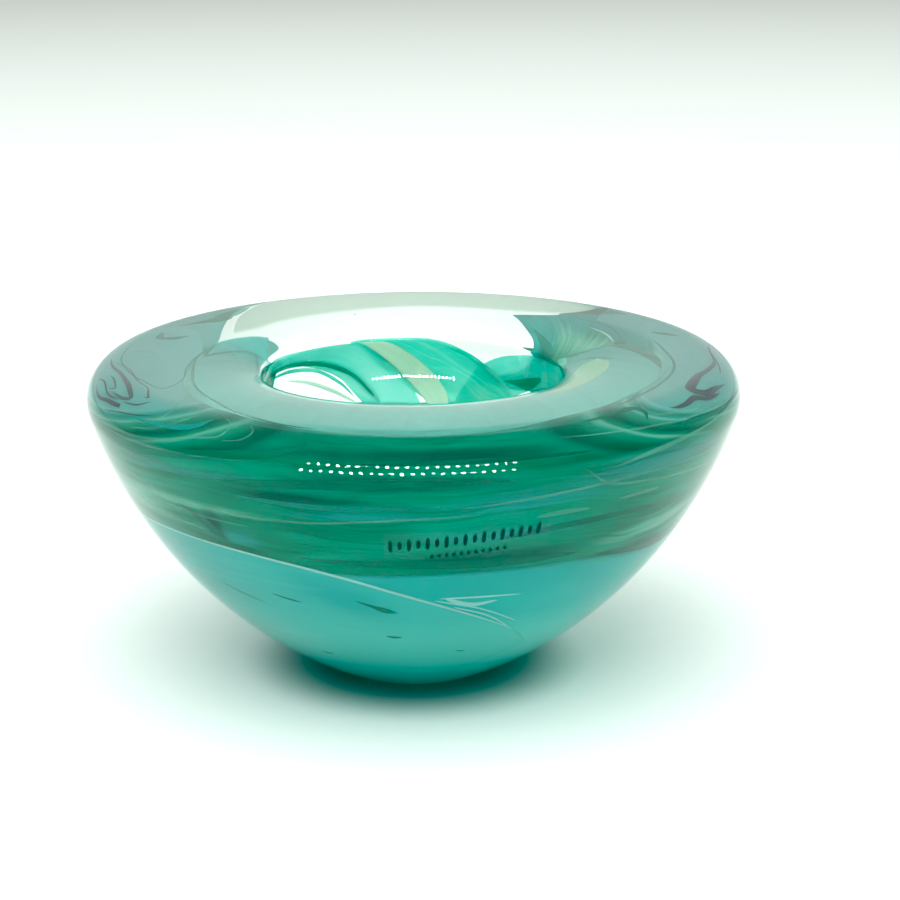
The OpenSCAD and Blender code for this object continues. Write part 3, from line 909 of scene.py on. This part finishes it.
# The olive tube inside the lip on the right, with dark lines over it and down the wedge
LIP_TUBES = (
    (((38, 95, 2), (52, 96.8, 5), (64, 98.2, 7), (76, 98.6, 8), (86, 97.8, 6), (91, 97.2, 2)), GREEN_TONE),
    (((95, 102.4, 0.3), (94.5, 99.6, 0.7), (91, 96.3, 0.7), (87, 93.6, 0.3)), DARK_TONE),
    (((139, 95.4, 0.3), (132, 98.2, 1.0), (126, 100.4, 1.8), (120, 102.2, 2.0), (114, 103.4, 1.0)),
     DARK_TONE),
    (((124, 88.4, 0.2), (116, 88.9, 0.5), (106, 90.6, 0.4)), PALE_TONE),
    (((136, 85.4, 0.2), (126, 84.6, 0.5), (114, 86.6, 0.5), (104, 89.4, 0.2)), DARK_TONE),
)


def lip_tubes():
    glass = cased_colour(
        "olive_glass", cased,
        ((92, 158, 110), (120, 180, 132), (150, 202, 156)),
        ((60, 160, 140), (90, 180, 160)),
        ((160, 224, 200), (200, 240, 222)),
        ((0, 84, 70), (20, 120, 100)),
        0.2, (0.6, 0.85, 0.6, 1.0), 0.8)
    piece = bands("lip_tubes", glass, OUTER, LIP_TUBES, TUBE_DEPTH, TUBE_T, 9)
    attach(piece, "root")


def strands():
    pale = cased_colour(
        "pale_thread", cased,
        ((104, 206, 196), (140, 222, 214)),
        ((110, 215, 210), (160, 232, 226)),
        ((116, 212, 202), (176, 236, 228)),
        ((130, 210, 200), (170, 228, 220)),
        0.2, (0.8, 1.0, 0.95, 1.0), 0.4)
    piece = bands("pale_strands", pale, OUTER, [(p, PALE_TONE) for p in PALE_STRANDS],
                  MARK_DEPTH, THREAD_T, 5)
    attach(piece, "root")
    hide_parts("lime_streak")


# The ribbons behind the well: piece, the node it stands for, its slot, how far behind the surface it is,
# its thickness and steps across, and its routes
RIBBONS = (
    ("well_ribbon_left_band", "well_ribbon_left", "teal_glass", RIBBON_GAP, RIBBON_T, 21, (
        (((262, 62, 2), (252, 64, 3), (240, 64.6, 4), (224, 63.8, 6.0), (208, 61.5, 9), (196, 56, 11),
          (187, 50, 10), (181, 44, 6)), TEAL_TONE),
        (((256, 62.3, 0.6), (236, 62.5, 1.2), (220, 61.3, 1.5), (206, 58.0, 1.6), (199, 54.1, 1.5),
          (194, 50.5, 1.0)), DARK_TONE),
    )),
    ("well_ribbon_right_band", "well_ribbon_right", "teal_glass", RIBBON_GAP + 0.8, RIBBON_T, 21, (
        (((205, 65.6, 2.5), (195, 64.6, 8), (183, 62, 12), (172, 58.5, 13), (160, 55.5, 13), (148, 51.5, 12),
          (137, 46.5, 8)), GREEN_TONE),
        (((168, 63.5, 0.4), (158, 61.5, 0.8), (148, 58.6, 1.0), (139, 55.6, 0.9), (131, 52, 0.5)), TEAL_TONE),
    )),
    ("well_ribbon_end_band", "well_ribbon_end", "emerald_glass", RIBBON_GAP + 1.8, RIBBON_T, 21, (
        (((98, 62, 4), (115, 61.5, 6), (132, 59.5, 8), (148, 56, 9), (162, 51, 6)), TEAL_TONE),
        (((118, 60, 1), (128, 58.3, 4), (138, 57.3, 3), (148, 57, 1)), DARK_TONE),
    )),
    ("well_thread_bands", "well_lime_thread", "lime_glass", RIBBON_GAP - 0.6, 0.5, 9, (
        (((202, 66, 2), (193, 63.6, 3.5), (185, 60.4, 4.5), (178, 57, 5), (171, 53, 5), (166, 49, 4)),
         PALE_TONE),
        (((254, 61.4, 0.4), (236, 61.2, 0.8), (223, 60.0, 0.8), (212, 56.5, 0.7), (206, 53, 0.4)),
         GREEN_TONE),
        (((240, 59.5, 0.3), (228, 57.8, 0.7), (216, 55, 0.9), (205, 51.5, 0.5)), PALE_TONE),
    )),
)


def well_ribbons():
    glass = cased_colour(
        "ribbon_glass", cased,
        ((12, 160, 130), (40, 182, 152), (104, 212, 184)),
        ((36, 182, 156), (110, 216, 194)),
        ((190, 238, 196), (240, 252, 215)),
        ((0, 96, 70), (0, 140, 106)),
        0.25, (0.35, 0.9, 0.7, 1.0), 0.8)
    for name, node, slot, gap, thick, across, paths in RIBBONS:
        piece = bands(name, glass, WELL, paths, gap, thick, across, top=RIBBON_TOP)
        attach(piece, "root")
        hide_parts(node)


# ---------------------------------------------------------------- label and bubbles
# The print is a plain row of upright lozenges that rises to the right, over a row of dots
LOZENGES, LOZENGE_FROM, LOZENGE_STEP, LOZENGE_U, LOZENGE_RISE = 17, -4.0, 1.56, 47.4, 0.165
LOZENGE_TALL, LOZENGE_SHORT = 2.7, 1.9
DOTS, DOT_FROM, DOT_STEP, DOT_U, DOT_RISE = 11, 3.0, 1.25, 45.0, 0.12
DOT_HALF = 0.4


def label(film, ink):
    """The CAD's film keeps its shape. A plain ornament stands for its print."""
    node = bpy.data.objects["makers_label"]
    node.data.materials.clear()
    node.data.materials.append(film)
    paths = []
    for i in range(LOZENGES):
        az, u = LOZENGE_FROM + LOZENGE_STEP * i, LOZENGE_U + LOZENGE_RISE * i
        tall = LOZENGE_TALL if i % 2 == 0 else LOZENGE_SHORT
        paths.append((((az, u - tall / 2, 0.5), (az, u, 0.8), (az, u + tall / 2, 0.5)), GREEN_TONE))
    for i in range(DOTS):
        az, u = DOT_FROM + DOT_STEP * i, DOT_U + DOT_RISE * i
        paths.append((((az, u - DOT_HALF, 0.5), (az, u, 0.6), (az, u + DOT_HALF, 0.5)), GREEN_TONE))
    marks = bands("label_marks", ink, OUTER, paths, PRINT_DEPTH, PRINT_T, 9, 0.2)
    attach(marks, "root")


# Angle, radius, height and radius of each bubble, in degrees and millimetres
BUBBLES = ((128, 46, 62, 0.9), (131, 47, 62.6, 0.4), (-20, 62, 56, 0.25), (12, 60, 50, 0.2),
           (-48, 61, 60, 0.3), (38, 64, 61, 0.25), (3, 40, 24, 0.3), (75, 55, 52, 0.3),
           (-120, 52, 44, 0.35), (160, 50, 40, 0.3), (-165, 55, 58, 0.35), (100, 30, 22, 0.25))
BUBBLE_SQUASH = 0.8


def bubbles(air):
    mesh = bmesh.new()
    for az, r, z, size in BUBBLES:
        a = math.radians(az)
        new = bmesh.ops.create_icosphere(mesh, subdivisions=3, radius=size * MM)["verts"]
        for vert in new:
            vert.co.z *= BUBBLE_SQUASH
            vert.co += Vector((r * math.sin(a), -r * math.cos(a), z)) * MM
    data = bpy.data.meshes.new("seed_bubbles")
    mesh.to_mesh(data)
    mesh.free()
    data.shade_smooth()
    data.materials.append(air)
    piece = bpy.data.objects.new("seed_bubbles", data)
    bpy.context.scene.collection.objects.link(piece)
    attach(piece, "root")


# ---------------------------------------------------------------- stage, light and camera
# A painted contact shadow: the floor is painted dark green where it meets the foot, and the painted shadow
# clears over this reach and width in metres
PAINTED_SHADOW_REACH, PAINTED_SHADOW_WIDTH = 0.040, 0.021
PAINTED_SHADOW_COLOUR, PAINTED_SHADOW_SHARE = (0.02, 0.15, 0.13, 1.0), 0.92
# Near the bowl the floor is painted a greenish white, painted light for the green light that passes through
# the glass; far off it is painted darker, a painted fall-off of the light
FLOOR_NEAR = [(0.3, (0.86, 0.94, 0.90, 1)), (0.7, (0.88, 0.95, 0.92, 1))]
FLOOR_FAR = (0.52, 0.52, 0.50, 1.0)
FLOOR_SIZE, FLOOR_GAP = 6, 0.0002

# Light of the room by how far forward it comes from, near the horizon and high up
LOW_LIGHT = [(0.1, (0.35, 0.37, 0.36, 1)), (0.5, (0.84, 0.86, 0.84, 1)), (0.9, (0.86, 0.88, 0.85, 1))]
HIGH_LIGHT = [(0.2, (1.35, 1.4, 1.37, 1)), (0.8, (1.1, 1.12, 1.1, 1))]

# Places and sizes of the lights in metres, and their power in watts
SOFTBOX_PLACE, SOFTBOX_SIZE, SOFTBOX_POWER = (-0.1, -0.7, 1.4), 1.4, 14.0
OVER_PLACE, OVER_SIZE, OVER_POWER, OVER_SPREAD = (0.0, 0.0, 0.22), 0.08, 0.2, 20
LAMP_ROWS, ROW_LAMPS = 2, 22
LAMP_FROM, LAMP_ARC, LAMP_DISTANCE = -36, 68, 1.5
LAMP_HEIGHT, ROW_RISE = 0.06, 0.46
LAMP_WIDTH, LAMP_TALL, LAMP_POWER = 0.026, 0.075, 0.9

# The darkest red, green and blue that the picture keeps, which sets how deep the greens are
BLACK_LEVEL = (0.06, 0.01, 0.012)


def floor_material():
    material, tree = new_material("pale_floor")
    place = add(tree, "TexCoord").outputs["Object"]
    cloud = noise(tree, place, (2.0, 2.0, 2.0), 3.0)
    # Greenish near the bowl as painted green light from the glass, and darker far off as a painted fall-off
    # of the light
    near = ramp(tree, cloud, FLOOR_NEAR)
    reach = add(tree, "VectorMath", {0: place}, operation="LENGTH").outputs["Value"]
    far = maths(tree, "MULTIPLY_ADD", reach, 0.5, -0.1, clamp=True)
    colour = blend(tree, far, near, FLOOR_FAR)
    # Painted contact shadow round the foot, dark green
    edge = maths(tree, "MULTIPLY_ADD", reach, -1 / PAINTED_SHADOW_WIDTH, PAINTED_SHADOW_REACH / PAINTED_SHADOW_WIDTH, clamp=True)
    painted_shadow = add(tree, "MapRange", {0: edge}, interpolation_type="SMOOTHSTEP").outputs[0]
    colour = blend(tree, maths(tree, "MULTIPLY", painted_shadow, PAINTED_SHADOW_SHARE), colour, PAINTED_SHADOW_COLOUR)
    diffuse = add(tree, "BsdfDiffuse", {"Color": colour}).outputs[0]
    add(tree, "OutputMaterial", {"Surface": diffuse})
    return material


def stage():
    bpy.ops.mesh.primitive_plane_add(size=FLOOR_SIZE, location=(0, 0, cad_box[0][2] - FLOOR_GAP))
    floor = bpy.context.object
    floor.name = "floor"
    floor.data.materials.append(floor_material())


def lights():
    """Soft white all round, dim on the camera's side.

    A wide softbox, a narrow light over the bowl's mouth and two rows of small lamps add to it.
    """
    scene = bpy.context.scene
    world = bpy.data.worlds.new("studio")
    scene.world = world
    world.use_nodes = True
    tree = world.node_tree
    place = add(tree, "TexCoord").outputs["Generated"]
    xyz = add(tree, "SeparateXYZ", {0: place}).outputs
    low = ramp(tree, maths(tree, "MULTIPLY_ADD", xyz[1], 0.5, 0.5), LOW_LIGHT)
    high = ramp(tree, maths(tree, "MULTIPLY_ADD", xyz[1], 0.5, 0.5), HIGH_LIGHT)
    colour = blend(tree, maths(tree, "MULTIPLY_ADD", xyz[2], 2.2, -0.35, clamp=True), low, high)
    background = tree.nodes["Background"]
    tree.links.new(colour, background.inputs[0])
    background.inputs[1].default_value = 1.0
    softbox = add_area("softbox", SOFTBOX_PLACE, SOFTBOX_SIZE, SOFTBOX_POWER)
    softbox.visible_glossy = False
    over = add_area("bowl_light", OVER_PLACE, OVER_SIZE, OVER_POWER)
    over.data.spread = math.radians(OVER_SPREAD)
    over.visible_glossy = False
    for row in range(LAMP_ROWS):
        for i in range(ROW_LAMPS):
            az = math.radians(LAMP_FROM + LAMP_ARC * (i + 0.5 * row) / (ROW_LAMPS - 1))
            height = LAMP_HEIGHT + ROW_RISE * row
            place = (LAMP_DISTANCE * math.sin(az), -LAMP_DISTANCE * math.cos(az), height)
            lamp = add_area(f"lamp_{row}_{i}", place, LAMP_WIDTH, LAMP_POWER)
            lamp.data.shape, lamp.data.size_y = "RECTANGLE", LAMP_TALL
            lamp.visible_diffuse = lamp.visible_transmission = lamp.visible_volume_scatter = False


def add_area(name, place, size, power):
    """A round lamp that faces the middle of the foot and stays out of the camera's sight."""
    light = bpy.data.lights.new(name, "AREA")
    light.energy = power
    light.shape = "DISK"
    light.size = size
    lamp = bpy.data.objects.new(name, light)
    bpy.context.scene.collection.objects.link(lamp)
    lamp.location = place
    lamp.rotation_mode = "QUATERNION"
    lamp.rotation_quaternion = (-Vector(place)).to_track_quat("-Z", "Y")
    lamp.visible_camera = False
    return lamp


def camera():
    """A view from the front and a little above, with the bowl left of the middle."""
    tilt = math.radians(17.456)
    distance, aim_z = 460 * MM, 35 * MM
    turn, focal, sensor_w = math.radians(-0.37), 83.65, 36.0
    data = bpy.data.cameras.new("camera")
    data.sensor_width = sensor_w
    data.lens = focal
    data.shift_x, data.shift_y = 0.04, 0.0624
    obj = bpy.data.objects.new("camera", data)
    bpy.context.scene.collection.objects.link(obj)
    obj.location = (0, -distance * math.cos(tilt), aim_z + distance * math.sin(tilt))
    look = Vector((0, math.cos(tilt), -math.sin(tilt))).to_track_quat("-Z", "Y")
    obj.rotation_mode = "QUATERNION"
    obj.rotation_quaternion = look @ Quaternion((0, 0, 1), turn)
    bpy.context.scene.camera = obj


def picture():
    """The picture's tones, and enough bounces for light to pass through the nested layers of glass."""
    scene = bpy.context.scene
    scene.view_settings.view_transform = "Standard"
    scene.view_settings.use_curve_mapping = True
    scene.view_settings.curve_mapping.black_level = BLACK_LEVEL
    scene.view_settings.curve_mapping.update()
    scene.cycles.use_denoising = True
    scene.cycles.max_bounces = 24
    scene.cycles.transmission_bounces = 20
    scene.cycles.transparent_max_bounces = 24
    scene.cycles.diffuse_bounces = 4


camera()
stage()
lights()
picture()
crystal_body(crystal_material())
colour_layers()
strands()
swirl_threads()
smoke_threads()
lip_tubes()
well_ribbons()
label(film_material(), print_material())
bubbles(bubble_material())
